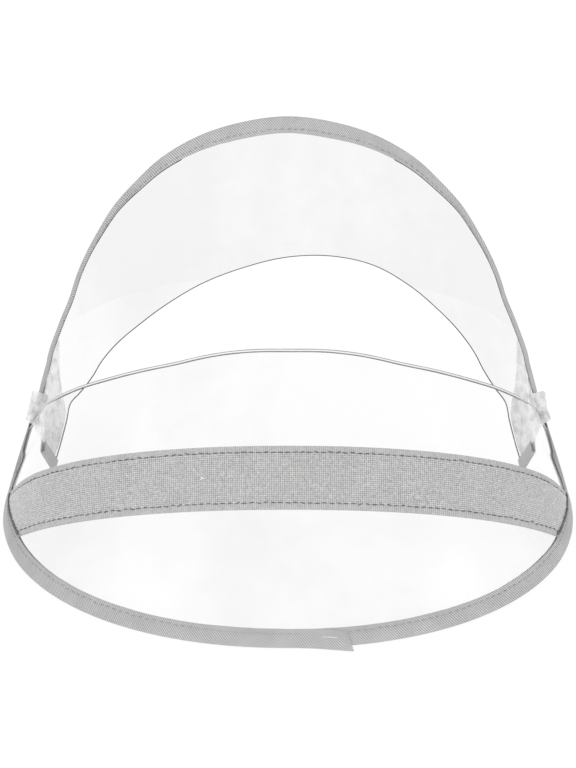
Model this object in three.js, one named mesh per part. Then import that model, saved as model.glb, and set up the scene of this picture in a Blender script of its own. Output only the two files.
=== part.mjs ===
// Rain bonnet of clear film: a front panel that stands on its bound rim and leans back, and a rear
// panel that curves round behind it, held together by one tape binding. Millimetres, +Z up, +X to the
// wearer's left, front toward -Y. The head goes up through the gap between the two panels.
import * as THREE from 'three';

// Driving dimensions
const HALF_WIDTH = 115;      // middle plane to the widest point of the rim
const FRONT_REACH = 97.7;    // widest line forward to the front of the rim
const FRONT_SQUARENESS = 2.11; // 2 is an ellipse, more is squarer
const CONE_BACK = 254;       // the front panel is part of a cone: its tip behind the widest line
const CONE_RISE = 341;       // the cone's tip above the rim
const VISOR_CUT = 0.238;     // share of the cone's slant that the front panel takes at the middle
const REAR_REACH = 102;      // widest line back to the top of the rear rim
const REAR_RISE = 128;       // top of the rear rim above the front rim
const REAR_WIDTH = 61;       // width of the rear film at the middle
const REAR_SKEW = 4.5;       // how much lower its bare edge hangs on the wearer's right
const SKEW_SPAN = 0.8;       // share of HALF_WIDTH where that fades out
const FRONT_FILM = 1.3;      // thickness of the film: the front panel's is the stouter
const REAR_FILM = 1.0;
const TAPE = 0.8;            // thickness of the binding tape
const TAPE_COVER = 7.4;      // how far the binding covers the film
const FOLD_SQUASH = 0.6;     // a fold's depth as a share of half its height: 1 is round
const PINCH_COVER = 3;       // how deep its fold is where it is pinched round the corners
const PINCH_RUN = 16;        // length of film over which it narrows to that
const PINCH_SLACK = 0.4;     // and opens by this on each side
const STRAIGHT_RUN = 6;      // past the film's end before the fold starts to turn
const LAP_LENGTH = 10;       // the binding's end laps over its start
const LAP_PLACE = 20;        // from the middle to the lap
const LAP_LAYER = 0.5;       // how much the lap adds, pressed flat
const BAND_WIDTH = 25;       // hook tape across the front panel
const BAND_THICK = 1.6;
const BAND_GAP = 0.5;        // between it and the film
const BAND_HEIGHT = 65;      // front of the rim up the film to the band's middle
const LOOP_WALL = 0.8;       // clear side loops
const LOOP_LENGTH = 12.5;
const LOOP_DROP = 2.6;       // from the corner's middle down to the loop's
const LOOP_GAP = 0.8;        // they are loose on the binding
const TAB_COVER = 4.4;       // grey tape folded over each horn's end
const CLEARANCE = 0.3;       // gap between neighbouring pieces

// Right half of the front panel, from its middle: turn round the rim in degrees, and the share of
// VISOR_CUT that is left there
const FRONT_SECTIONS = [
  { turn: 0, cut: 1.0 },
  { turn: 9, cut: 0.994 },
  { turn: 18, cut: 0.968 },
  { turn: 28, cut: 0.917 },
  { turn: 38, cut: 0.86 },
  { turn: 48, cut: 0.79 },
  { turn: 58, cut: 0.71 },
  { turn: 68, cut: 0.615 },
];
// Its bound side edge, up from the surface: side in HALF_WIDTH, back in REAR_REACH, up in REAR_RISE,
// and toward the end of the bare edge as a share of what is left from the last section above
const SIDE_SECTIONS = [
  { side: 0.985, back: -0.182, up: 0.0, toward: 0.17 },
  { side: 1.0, back: 0.005, up: 0.001, toward: 0.34 },
  { side: 0.988, back: 0.068, up: 0.03, toward: 0.51 },
  { side: 0.956, back: 0.108, up: 0.118, toward: 0.68 },
  { side: 0.918, back: 0.152, up: 0.215, toward: 1.0 },
];
const BARE_END = { side: 0.843, back: 0.09, up: 0.342 };
const CORNER = { side: 0.882, back: 0.205, up: 0.312 };
// Right half of the rear panel, from above the corner to its middle: the rim's place as above, then
// the film's width in REAR_WIDTH, its lean in degrees, and the bare edge's step inward in HALF_WIDTH
const REAR_SECTIONS = [
  { side: 0.852, back: 0.299, up: 0.394, width: 0.43, lean: 111, inward: 0.065 },
  { side: 0.811, back: 0.408, up: 0.488, width: 0.566, lean: 97, inward: 0.055 },
  { side: 0.777, back: 0.48, up: 0.548, width: 0.65, lean: 92.5, inward: 0.047 },
  { side: 0.75, back: 0.549, up: 0.609, width: 0.735, lean: 87.5, inward: 0.041 },
  { side: 0.718, back: 0.61, up: 0.662, width: 0.79, lean: 84.5, inward: 0.031 },
  { side: 0.678, back: 0.67, up: 0.715, width: 0.843, lean: 82.5, inward: 0.022 },
  { side: 0.624, back: 0.741, up: 0.777, width: 0.915, lean: 81, inward: 0.011 },
  { side: 0.552, back: 0.808, up: 0.834, width: 0.956, lean: 80, inward: 0.004 },
  { side: 0.455, back: 0.881, up: 0.897, width: 0.99, lean: 80, inward: 0 },
  { side: 0.322, back: 0.943, up: 0.951, width: 0.99, lean: 80, inward: 0 },
  { side: 0.17, back: 0.982, up: 0.985, width: 0.994, lean: 80, inward: 0 },
  { side: 0, back: 1.0, up: 1.0, width: 1.0, lean: 80, inward: 0 },
];
// The horn that hangs free inside the corner, from its tip up: both edges, in the same shares
const HORN_SECTIONS = [
  { side: 0.868, back: 0.088, up: 0.164, innerSide: 0.838, innerBack: 0.13, innerUp: 0.08 },
  { side: 0.858, back: 0.16, up: 0.222, innerSide: 0.818, innerBack: 0.205, innerUp: 0.122 },
  { side: 0.849, back: 0.264, up: 0.278, innerSide: 0.798, innerBack: 0.305, innerUp: 0.172 },
];

const STEPS = 3;             // stations between two sections
const ROWS = 4;              // quads across a panel
const CAP_STEPS = 3;         // facets on half of a fold
const TURN_STEP = 2.2;       // between stations where the binding turns

const place = (row) => new THREE.Vector3(row.side * HALF_WIDTH, row.back * REAR_REACH, row.up * REAR_RISE);
const mirrored = (point) => new THREE.Vector3(-point.x, point.y, point.z);

// Points along a smooth line through the given ones, steps to each interval
function smooth(points, steps) {
  const curve = new THREE.CatmullRomCurve3(points, false, 'centripetal');
  return curve.getPoints((points.length - 1) * steps);
}

// Both edges of the front panel, corner to corner
function frontEdges() {
  const tip = new THREE.Vector3(0, CONE_BACK, CONE_RISE);
  const power = 2 / FRONT_SQUARENESS;
  const rim = [];
  const bare = [];
  for (const { turn, cut } of FRONT_SECTIONS) {
    const angle = THREE.MathUtils.degToRad(turn);
    const x = HALF_WIDTH * Math.sin(angle) ** power;
    const y = -FRONT_REACH * Math.cos(angle) ** power;
    const foot = new THREE.Vector3(x, y, 0);
    rim.push(foot);
    bare.push(foot.clone().lerp(tip, VISOR_CUT * cut));
  }
  const last = bare[bare.length - 1].clone();
  const end = place(BARE_END);
  for (const row of SIDE_SECTIONS) {
    rim.push(place(row));
    bare.push(last.clone().lerp(end, row.toward));
  }
  const whole = (half) => [...half.slice(1).reverse().map(mirrored), ...half];
  return { rim: smooth(whole(rim), STEPS), bare: smooth(whole(bare), STEPS) };
}

// The rear panel's edges from the right corner over the back to the left one
function rearEdges() {
  const rim = [];
  const bare = [];
  for (const row of REAR_SECTIONS) {
    const lean = THREE.MathUtils.degToRad(row.lean);
    const width = row.width * REAR_WIDTH;
    const top = place(row);
    rim.push(top);
    bare.push(new THREE.Vector3(top.x - row.inward * HALF_WIDTH,
      top.y - width * Math.cos(lean), top.z - width * Math.sin(lean)));
  }
  const hornRim = HORN_SECTIONS.map(place);
  const hornBare = HORN_SECTIONS.map(({ innerSide, innerBack, innerUp }) => (
    place({ side: innerSide, back: innerBack, up: innerUp })));
  const whole = (half) => [...half, ...half.slice(0, -1).reverse().map(mirrored)];
  const skewed = (points) => points.map((point) => {
    const share = THREE.MathUtils.clamp(point.x / (SKEW_SPAN * HALF_WIDTH), -1, 1);
    const drop = REAR_SKEW * Math.sin(Math.PI * share);
    return new THREE.Vector3(point.x, point.y, point.z + drop);
  });
  return {
    rim: smooth(whole([...hornRim, ...rim]), STEPS),
    bare: smooth(skewed(whole([...hornBare, ...bare])), STEPS),
    boundFrom: hornRim.length * STEPS,
  };
}

// A closed mesh from a list of points and of triangles
function solid(points, triangles) {
  const geometry = new THREE.BufferGeometry();
  geometry.setAttribute('position', new THREE.Float32BufferAttribute(points.flatMap((p) => p.toArray()), 3));
  geometry.setIndex(triangles);
  geometry.computeVertexNormals();
  return geometry;
}

// Grid of points between two edges
function ruled(rim, bare, rows) {
  return rim.map((point, i) => (
    Array.from({ length: rows + 1 }, (_, j) => point.clone().lerp(bare[i], j / rows))));
}

// Unit normals of a grid, by central differences
function gridNormals(grid) {
  const last = grid.length - 1;
  const side = grid[0].length - 1;
  return grid.map((line, i) => line.map((_, j) => {
    const along = grid[Math.min(i + 1, last)][j].clone().sub(grid[Math.max(i - 1, 0)][j]);
    const across = grid[i][Math.min(j + 1, side)].clone().sub(grid[i][Math.max(j - 1, 0)]);
    return along.cross(across).normalize();
  }));
}

// A wall on a grid, between two heights along the grid's normals
function wall(grid, normals, low, high) {
  const count = grid.length;
  const width = grid[0].length;
  const points = [];
  for (const height of [high, low]) {
    grid.forEach((line, i) => line.forEach((point, j) => {
      points.push(point.clone().addScaledVector(normals[i][j], height));
    }));
  }
  const at = (layer, i, j) => layer * count * width + i * width + j;
  const triangles = [];
  const quad = (a, b, c, d) => {
    if (points[a].distanceTo(points[c]) < points[b].distanceTo(points[d])) triangles.push(a, b, c, a, c, d);
    else triangles.push(a, b, d, b, c, d);
  };
  for (let i = 0; i + 1 < count; i += 1) {
    for (let j = 0; j + 1 < width; j += 1) {
      quad(at(0, i, j), at(0, i + 1, j), at(0, i + 1, j + 1), at(0, i, j + 1));
      quad(at(1, i, j), at(1, i, j + 1), at(1, i + 1, j + 1), at(1, i + 1, j));
    }
    quad(at(0, i, 0), at(1, i, 0), at(1, i + 1, 0), at(0, i + 1, 0));
    quad(at(0, i, width - 1), at(0, i + 1, width - 1), at(1, i + 1, width - 1), at(1, i, width - 1));
  }
  for (let j = 0; j + 1 < width; j += 1) {
    quad(at(0, 0, j), at(0, 0, j + 1), at(1, 0, j + 1), at(1, 0, j));
    quad(at(0, count - 1, j), at(1, count - 1, j), at(1, count - 1, j + 1), at(0, count - 1, j + 1));
  }
  return solid(points, triangles);
}

// How far the binding covers the film at each station: less and less toward both ends
function bindingCovers(grid) {
  const run = [0];
  for (let i = 1; i < grid.length; i += 1) run.push(run[i - 1] + grid[i][0].distanceTo(grid[i - 1][0]));
  const whole = run[run.length - 1];
  const share = (at) => Math.min(at, whole - at, PINCH_RUN) / PINCH_RUN;
  return run.map((at) => THREE.MathUtils.lerp(PINCH_COVER, TAPE_COVER, share(at)));
}

// Frames along a film's bound edge: where it is, the way in square to it, the way in along the film,
// and the film's normal at the edge and under the tape's own edge
function edgeFrames(grid, covers) {
  const normals = gridNormals(grid);
  return grid.map((line, i) => {
    const origin = line[0];
    const cover = covers[i];
    const before = grid[Math.max(i - 1, 0)][0];
    const after = grid[Math.min(i + 1, grid.length - 1)][0];
    const along = after.clone().sub(before).normalize();
    const leg = line[line.length - 1].clone().sub(origin);
    const length = leg.length();
    leg.divideScalar(length);
    const inward = leg.clone().addScaledVector(along, -leg.dot(along)).normalize();
    leg.divideScalar(leg.dot(inward));
    const row = Math.min((cover * leg.length()) / length, 1) * (line.length - 1);
    const j = Math.min(Math.floor(row), line.length - 2);
    const legNormal = normals[i][j].clone().lerp(normals[i][j + 1], row - j);
    return { origin, inward, leg, normal: normals[i][0], legNormal, cover };
  });
}

// Frames round a corner, where the tape is pinched narrow and turns from one panel to the other
function cornerFrames(from, to, corner) {
  const curve = new THREE.CatmullRomCurve3([from.origin, corner, to.origin], false, 'centripetal');
  const count = Math.round(curve.getLength() / TURN_STEP);
  const edge = curve.getSpacedPoints(count);
  const length = curve.getLength();
  const mid = from.inward.clone().add(to.inward).normalize();
  return edge.map((origin, i) => {
    const along = curve.getTangentAt(i / count);
    const run = (length * i) / count;
    const turn = THREE.MathUtils.smoothstep(run, STRAIGHT_RUN, length - STRAIGHT_RUN);
    const inward = turn < 0.5
      ? from.inward.clone().lerp(mid, turn * 2)
      : mid.clone().lerp(to.inward, turn * 2 - 1);
    inward.addScaledVector(along, -inward.dot(along)).normalize();
    const normal = along.clone().cross(inward).normalize();
    const middle = run - length / 2;
    return { origin, inward, leg: inward, normal, legNormal: normal, cover: PINCH_COVER, run: middle };
  }).slice(1, -1);
}

// A point of a folded tape: u in from the film's edge, v out from the film's middle
function tapePoint({ origin, inward, leg, normal, legNormal, cover }, u, v) {
  if (u <= 0) return origin.clone().addScaledVector(inward, u).addScaledVector(normal, v);
  const lift = normal.clone().lerp(legNormal, Math.min(u / cover, 1));
  return origin.clone().addScaledVector(leg, u).addScaledVector(lift, v);
}

// Outline of a folded tape, in (inward, normal): round at the fold, open at the legs' ends, with any
// second layer outside it
function foldOutline(cover, inner, thickness, layer = 0) {
  const outer = inner + thickness + layer;
  const outline = [[cover, inner], [cover, outer]];
  for (let k = 0; k <= 2 * CAP_STEPS; k += 1) {
    const angle = (Math.PI * k) / (2 * CAP_STEPS);
    outline.push([-CLEARANCE - outer * Math.sin(angle) * FOLD_SQUASH, outer * Math.cos(angle)]);
  }
  outline.push([cover, -outer], [cover, -inner], [-CLEARANCE, -inner], [-CLEARANCE, inner]);
  return outline;
}

// Sweeps one outline per frame; a closed sweep joins its last frame to its first
function sweep(frames, outlines, closed) {
  const size = outlines[0].length;
  const points = frames.flatMap((frame, i) => outlines[i].map(([u, v]) => tapePoint(frame, u, v)));
  const triangles = [];
  const count = frames.length;
  for (let i = 0; i < (closed ? count : count - 1); i += 1) {
    for (let k = 0; k < size; k += 1) {
      const a = i * size + k;
      const b = i * size + ((k + 1) % size);
      const c = ((i + 1) % count) * size + k;
      const d = ((i + 1) % count) * size + ((k + 1) % size);
      triangles.push(a, d, c, a, b, d);
    }
  }
  if (!closed) {
    const flat = outlines[0].map(([u, v]) => new THREE.Vector2(u, v));
    const cap = THREE.ShapeUtils.triangulateShape(flat, []);
    for (const [a, b, c] of cap) triangles.push(a, c, b);
    const base = (count - 1) * size;
    for (const [a, b, c] of cap) triangles.push(base + a, base + b, base + c);
  }
  return solid(points, triangles);
}

// A closed sleeve round a folded tape: two outlines of equal size, one inside the other
function sleeve(frames, inner, outer) {
  const size = inner.length;
  const points = [];
  for (const outline of [outer, inner]) {
    for (const frame of frames) points.push(...outline.map(([u, v]) => tapePoint(frame, u, v)));
  }
  const count = frames.length;
  const at = (layer, i, k) => layer * count * size + i * size + (k % size);
  const triangles = [];
  const quad = (a, b, c, d) => triangles.push(a, c, b, a, d, c);
  for (let i = 0; i + 1 < count; i += 1) {
    for (let k = 0; k < size; k += 1) {
      quad(at(0, i, k), at(0, i + 1, k), at(0, i + 1, k + 1), at(0, i, k + 1));
      quad(at(1, i, k), at(1, i, k + 1), at(1, i + 1, k + 1), at(1, i + 1, k));
    }
  }
  for (let k = 0; k < size; k += 1) {
    quad(at(0, 0, k), at(0, 0, k + 1), at(1, 0, k + 1), at(1, 0, k));
    quad(at(0, count - 1, k), at(1, count - 1, k), at(1, count - 1, k + 1), at(0, count - 1, k + 1));
  }
  return solid(points, triangles);
}

// A value of a grid between its stations: s counts stations, t is the share from rim to bare edge
function onPanel(grid, s, t) {
  const i = Math.min(Math.floor(s), grid.length - 2);
  const row = t * (grid[0].length - 1);
  const j = Math.min(Math.floor(row), grid[0].length - 2);
  const low = grid[i][j].clone().lerp(grid[i + 1][j], s - i);
  return low.lerp(grid[i][j + 1].clone().lerp(grid[i + 1][j + 1], s - i), row - j);
}

// Lays the strip between two edges out flat, ruling by ruling
function flatten(rim, bare) {
  const meet = (a, b, ra, rb) => {
    const d = b.clone().sub(a);
    const length = d.length();
    const x = (ra * ra - rb * rb + length * length) / (2 * length);
    const y = Math.sqrt(Math.max(ra * ra - x * x, 0));
    d.divideScalar(length);
    return new THREE.Vector2(a.x + d.x * x + d.y * y, a.y + d.y * x - d.x * y);
  };
  const low = [new THREE.Vector2(0, 0)];
  const high = [new THREE.Vector2(0, rim[0].distanceTo(bare[0]))];
  for (let i = 1; i < rim.length; i += 1) {
    const a = low[i - 1];
    const b = high[i - 1];
    const foot = meet(a, b, rim[i].distanceTo(rim[i - 1]), rim[i].distanceTo(bare[i - 1]));
    low.push(foot);
    high.push(meet(foot, b, bare[i].distanceTo(rim[i]), bare[i].distanceTo(bare[i - 1])).clone());
  }
  return { low, high };
}

const front = frontEdges();
const rear = rearEdges();
const filmSlot = FRONT_FILM / 2 + CLEARANCE;

// The binding: up to the front panel's two ends, round each corner, and over the rear panel
const frontGrid = ruled(front.rim, front.bare, ROWS);
const rearGrid = ruled(rear.rim, rear.bare, ROWS);
const frontNormals = gridNormals(frontGrid);
const rearNormals = gridNormals(rearGrid);
const boundGrid = rearGrid.slice(rear.boundFrom, rearGrid.length - rear.boundFrom);
const frontFrames = edgeFrames(frontGrid, bindingCovers(frontGrid));
const rearFrames = edgeFrames(boundGrid, bindingCovers(boundGrid));
const rightCorner = cornerFrames(frontFrames[frontFrames.length - 1], rearFrames[0], place(CORNER));
const leftCorner = cornerFrames(rearFrames[rearFrames.length - 1], frontFrames[0], mirrored(place(CORNER)));
const bindingFrames = [...frontFrames, ...rightCorner, ...rearFrames, ...leftCorner];
const bindingOutlines = bindingFrames.map(({ origin, cover }, i) => {
  const inLap = i < frontFrames.length && Math.abs(origin.x - LAP_PLACE) < LAP_LENGTH / 2;
  const slack = (PINCH_SLACK * (TAPE_COVER - cover)) / (TAPE_COVER - PINCH_COVER);
  return foldOutline(cover, filmSlot + slack, TAPE, inLap ? LAP_LAYER : 0);
});

// The hook tape: a straight strip on the flat film, bent with it
function bandGrid() {
  const { low, high } = flatten(front.rim, front.bare);
  const middle = (front.rim.length - 1) / 2;
  const axis = high[middle].clone().sub(low[middle]).normalize();
  const across = new THREE.Vector2(axis.y, -axis.x);
  const local = (p) => {
    const q = p.clone().sub(low[middle]);
    return [q.dot(across), q.dot(axis)];
  };
  const feet = low.map(local);
  const heads = high.map(local);
  const mix = (list, s) => {
    const i = Math.min(Math.floor(s), list.length - 2);
    const t = s - i;
    return list[i].map((value, k) => value * (1 - t) + list[i + 1][k] * t);
  };
  const shareAt = (s, height) => {
    const foot = mix(feet, s);
    const head = mix(heads, s);
    return (height - foot[1]) / (head[1] - foot[1]);
  };
  const edgeGap = (s, height) => {
    const foot = mix(feet, s);
    const head = mix(heads, s);
    const t = shareAt(s, height);
    const x = foot[0] + (head[0] - foot[0]) * t;
    return Math.min(...feet.map(([fx, fy]) => Math.hypot(fx - x, fy - height)));
  };
  const inset = TAPE_COVER + 2 * CLEARANCE;
  const endOf = (height, way) => {
    let near = middle;
    while (near + way > 0 && near + way < feet.length - 1 && edgeGap(near + way, height) > inset
      && shareAt(near + way, height) > 0 && shareAt(near + way, height) < 1) near += way;
    let far = near + way;
    for (let k = 0; k < 20; k += 1) {
      const mid = (near + far) / 2;
      const share = shareAt(mid, height);
      if (edgeGap(mid, height) > inset && share > 0 && share < 1) near = mid;
      else far = mid;
    }
    return near;
  };
  const columns = 2 * Math.round(middle);
  const normals = frontNormals;
  const lines = [-0.5, 0, 0.5].map((share) => {
    const height = BAND_HEIGHT + share * BAND_WIDTH;
    const start = endOf(height, -1);
    const stop = endOf(height, 1);
    return Array.from({ length: columns + 1 }, (_, c) => {
      const s = start + ((stop - start) * c) / columns;
      return [onPanel(frontGrid, s, shareAt(s, height)), onPanel(normals, s, shareAt(s, height))];
    });
  });
  const turned = (k) => lines[0].map((_, c) => lines.map((line) => line[c][k]));
  return { grid: turned(0), normals: turned(1) };
}

const finishes = {
  film: { color: 0xf4f6f7, roughness: 0.08, metalness: 0, transparent: true, opacity: 0.3 },
  frosted: { color: 0xe8eaec, roughness: 0.35, metalness: 0, transparent: true, opacity: 0.6 },
  twill: { color: 0xbfbfbf, roughness: 0.9, metalness: 0 },
  hook: { color: 0xb8b8b8, roughness: 0.95, metalness: 0 },
};

const bonnet = new THREE.Group();
function add(name, geometry, finish) {
  const mesh = new THREE.Mesh(geometry, new THREE.MeshStandardMaterial(finishes[finish]));
  mesh.name = name;
  bonnet.add(mesh);
}

add('front_panel', wall(frontGrid, frontNormals, -FRONT_FILM / 2, FRONT_FILM / 2), 'film');
add('rear_panel', wall(rearGrid, rearNormals, -REAR_FILM / 2, REAR_FILM / 2), 'film');
add('edge_binding', sweep(bindingFrames, bindingOutlines, true), 'twill');
const band = bandGrid();
const bandFoot = FRONT_FILM / 2 + BAND_GAP;
add('hook_band', wall(band.grid, band.normals, bandFoot, bandFoot + BAND_THICK), 'hook');

// Clear loops round the binding at the corners, where no film runs in it
const pinchOuter = filmSlot + PINCH_SLACK + TAPE;
const ringOutline = (inner) => (
  foldOutline(PINCH_COVER + inner - pinchOuter, 0, inner).filter(([, v]) => v !== 0));
const loopInner = ringOutline(pinchOuter + LOOP_GAP);
const loopOuter = ringOutline(pinchOuter + LOOP_GAP + LOOP_WALL);
const loopFrames = (corner, drop) => corner.filter(({ run }) => Math.abs(run + drop) < LOOP_LENGTH / 2);
add('side_loop_left', sleeve(loopFrames(leftCorner, -LOOP_DROP), loopInner, loopOuter), 'frosted');
add('side_loop_right', sleeve(loopFrames(rightCorner, LOOP_DROP), loopInner, loopOuter), 'frosted');

// Grey tape folded over the horns' ends
const tabOutline = foldOutline(TAB_COVER, REAR_FILM / 2 + CLEARANCE, TAPE);
// An end of a strip, seen as a short edge of its own: across the strip, then in along it
function endFrames(sections) {
  const across = sections[0].length;
  const grid = Array.from({ length: across }, (_, j) => sections.map((line) => line[j]));
  return edgeFrames(grid, grid.map(() => TAB_COVER));
}
const rightTip = endFrames(rearGrid.slice(0, 2));
const leftTip = endFrames(rearGrid.slice(-2).reverse());
add('end_tab_left', sweep(leftTip, leftTip.map(() => tabOutline), false), 'twill');
add('end_tab_right', sweep(rightTip, rightTip.map(() => tabOutline), false), 'twill');

// The bonnet stands on the surface z = 0, with the middle of its box over the origin
const box = new THREE.Box3().setFromObject(bonnet, true);
const centre = box.getCenter(new THREE.Vector3());
bonnet.position.set(-centre.x, -centre.y, -box.min.z);

export default bonnet;
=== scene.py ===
"""Looks of the rain bonnet: film, tapes, thread and studio, in metres, in the part's own frame."""

import logging
import math
from dataclasses import dataclass
from enum import Enum

import bmesh
import bpy
import numpy as np
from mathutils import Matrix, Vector


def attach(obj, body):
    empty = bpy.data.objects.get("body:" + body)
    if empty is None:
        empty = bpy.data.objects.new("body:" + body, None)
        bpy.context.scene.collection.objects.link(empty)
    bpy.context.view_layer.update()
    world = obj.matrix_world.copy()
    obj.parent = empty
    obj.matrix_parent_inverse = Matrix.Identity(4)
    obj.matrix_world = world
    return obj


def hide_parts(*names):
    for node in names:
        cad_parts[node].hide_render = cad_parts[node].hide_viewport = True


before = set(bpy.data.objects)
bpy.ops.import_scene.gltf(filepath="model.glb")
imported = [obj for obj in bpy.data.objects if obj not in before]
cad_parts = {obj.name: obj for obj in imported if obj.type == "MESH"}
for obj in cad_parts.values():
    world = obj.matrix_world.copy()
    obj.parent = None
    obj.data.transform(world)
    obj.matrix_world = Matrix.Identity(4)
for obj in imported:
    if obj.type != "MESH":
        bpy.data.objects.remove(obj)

logging.basicConfig(level=logging.INFO, format="%(message)s")
log = logging.getLogger("bonnet")

Array = np.ndarray
Pair = tuple[float, float]
Face = tuple[int, ...]
Node = bpy.types.Node
Socket = bpy.types.NodeSocket
Material = bpy.types.Material

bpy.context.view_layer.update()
MM = 0.001
# From the curves' own frame to the part's, in millimetres
SHIFT = np.array([0.0, -2.214, 2.076])
FLIP = np.array([-1, 1, 1])
# Stations to each section of a panel, and rows across it
STEPS = 12
ROWS = 12


class Side(Enum):
    """Which side of the bonnet, by the sign of X. Left is the photograph's left."""

    LEFT = -1
    RIGHT = 1


class Slot(Enum):
    """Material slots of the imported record."""

    FILM = "clear_film"
    FROSTED = "frosted_film"
    TWILL = "twill_tape"
    HOOK = "hook_tape"


# Sizes, in millimetres


@dataclass(frozen=True)
class BonnetSizes:
    """Sizes of the two panels.

    Attributes mirror the part: the rim's half width and reach, the cone that the front panel is part
    of, the rear rim's reach and rise, the rear film's width and skew, and the films' thickness.
    """

    half_width: float = 115.0
    front_reach: float = 97.7
    squareness: float = 2.11
    cone_back: float = 254.0
    cone_rise: float = 341.0
    visor_cut: float = 0.238
    rear_reach: float = 102.0
    rear_rise: float = 128.0
    rear_width: float = 61.0
    rear_skew: float = 4.5
    skew_span: float = 0.8
    front_film: float = 0.6
    rear_film: float = 0.4
    # Widths of the strip along each bare edge that carries the cut edge's painted dark lines
    front_line: float = 1.25
    rear_line: float = 0.3


@dataclass(frozen=True)
class TapeSizes:
    """Sizes of the folded binding tape and its seams.

    The tape covers the film's edge by cover, and by pinch_cover where it is curled. Each pinch says how far
    from a film's corner it stays curled, and where it is wide again. The slots are half as wide as the
    tape's gap, the lap is given by X, and thread and lip are radii.
    """

    cover: float = 6.6
    pinch_cover: float = 1.0
    front_pinch: Pair = (0.0, 44.0)
    rear_pinch: Pair = (38.0, 148.0)
    straight_run: float = 6.0
    turn_step: float = 1.1
    thick: float = 0.36
    slot: float = 0.34
    rear_slot: float = 0.26
    slack: float = 0.12
    tuck: float = 0.1
    fold: float = 0.55
    sway: float = 0.22
    lap: Pair = (4.0, 22.6)
    lap_slant: float = 1.9
    seam_inset: float = 1.8
    stitch_pitch: float = 2.9
    stitch_length: float = 2.3
    thread: float = 0.17
    loose_spot: float = 15.6
    loose_length: float = 3.4
    loose_thread: float = 0.16
    # lip: radius of the painted shade cord along the tape's inner lip; lip_run: its length at each side of
    # the back
    lip: float = 0.27
    lip_run: float = 138.0


@dataclass(frozen=True)
class BandSizes:
    """Sizes of the hook tape across the front.

    Its foot is the height of its underside above the film's middle. Ground, roots and rises are shares of its
    thickness, and the threads are radii. The stray thread lies by the flat X and the height above the bottom.
    """

    width: float = 25.0
    thick: float = 0.9
    height: float = 65.0
    selvedge: float = 2.5
    pitch: float = 0.82
    knob: float = 0.28
    inset: float = 6.9
    spare: float = 1.5
    foot: float = 0.62
    ground: float = 0.55
    hook_root: float = 0.45
    hook_rise: float = 0.5
    rib_root: float = 0.5
    stitch_pitch: float = 2.75
    stitch_length: float = 2.55
    stitch_sway: float = 0.13
    thread: float = 0.22
    tack_pitch: float = 0.62
    tack_reach: Pair = (2.1, 0.3)
    tack_thread: float = 0.26
    stray_spot: Pair = (-33.5, 12.2)
    stray_thread: float = 0.17

    @property
    def bottom(self) -> float:
        """Height of the lower edge."""
        return self.height - self.width / 2

    @property
    def top(self) -> float:
        """Height of the upper edge."""
        return self.height + self.width / 2


@dataclass(frozen=True)
class CornerSizes:
    """Sizes of the loops, webs, ribbons and tabs at the corners.

    The web and the ribbon run between two stations counted from the horn's tip. Their films are half
    thicknesses, and the loop's is a whole one.
    """

    loop_length: float = 12.5
    loop_drop: float = 5.0
    loop_reach: float = 3.1
    loop_depth: float = 2.2
    loop_film: float = 0.35
    web_ends: Pair = (2.0, 3.25 * STEPS)
    web_inset: float = 0.03
    web_lift: float = 0.75
    web_film: float = 0.11
    ribbon_ends: Pair = (1.5, 3.8 * STEPS)
    ribbon_lift: float = 0.95
    ribbon_ruffle: float = 0.35
    ribbon_film: float = 0.12
    tab_cover: float = 4.2
    tab_slot: float = 0.45
    tab_depth: float = 0.95
    tab_spare: float = 0.03
    tab_long: float = 11


BONNET = BonnetSizes()
TAPE = TapeSizes()
BAND = BandSizes()
CORNER_SIZES = CornerSizes()

# Front panel, right half: turn round the rim in degrees, and the share of the visor cut left there
FRONT_SECTIONS = (
    (0, 1.0),
    (9, 0.994),
    (18, 0.968),
    (28, 0.917),
    (38, 0.86),
    (48, 0.79),
    (58, 0.71),
    (68, 0.615),
)
# Its bound side edge: side, back and up as shares of the sizes, and toward the bare edge's end
SIDE_SECTIONS = (
    (0.985, -0.182, 0.0, 0.17),
    (1.0, 0.005, 0.001, 0.34),
    (0.988, 0.068, 0.03, 0.51),
    (0.956, 0.108, 0.118, 0.68),
    (0.918, 0.152, 0.215, 1.0),
)
BARE_END = (0.843, 0.09, 0.342)
CORNER = (0.882, 0.205, 0.312)
# Rear panel, right half: the rim's place, the film's width, its lean in degrees, the step inward
REAR_SECTIONS = (
    (0.852, 0.299, 0.394, 0.43, 111, 0.065),
    (0.811, 0.408, 0.488, 0.566, 97, 0.055),
    (0.777, 0.48, 0.548, 0.65, 92.5, 0.047),
    (0.75, 0.549, 0.609, 0.735, 87.5, 0.041),
    (0.718, 0.61, 0.662, 0.79, 84.5, 0.031),
    (0.678, 0.67, 0.715, 0.843, 82.5, 0.022),
    (0.624, 0.741, 0.777, 0.915, 81, 0.011),
    (0.552, 0.808, 0.834, 0.956, 80, 0.004),
    (0.455, 0.881, 0.897, 0.99, 80, 0.0),
    (0.322, 0.943, 0.951, 0.99, 80, 0.0),
    (0.17, 0.982, 0.985, 0.994, 80, 0.0),
    (0.0, 1.0, 1.0, 1.0, 80, 0.0),
)
# Horn inside the corner, from its tip up: outer edge, then inner edge
HORN_SECTIONS = (
    (0.868, 0.088, 0.164, 0.838, 0.13, 0.08),
    (0.858, 0.16, 0.222, 0.818, 0.205, 0.122),
    (0.849, 0.264, 0.278, 0.798, 0.305, 0.172),
)
# Outline of a selvedge rib: along the band by the pitch, and up
RIB_PROFILE = ((-0.38, -0.05), (-0.22, 0.17), (0.0, 0.25), (0.22, 0.17), (0.38, -0.05))
# A hook's rings: how wide and how high
HOOK_RINGS = ((1.15, 0.0), (1.0, 0.6), (0.45, 1.0))
HOOK_CORNERS = ((-1, -1), (1, -1), (1, 1), (-1, 1))


# Curves and grids, in millimetres


def spread(*values: Array | float) -> tuple[Array, ...]:
    """Brings numbers and arrays to one shape."""
    return np.broadcast_arrays(*(np.asarray(value, float) for value in values))


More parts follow.
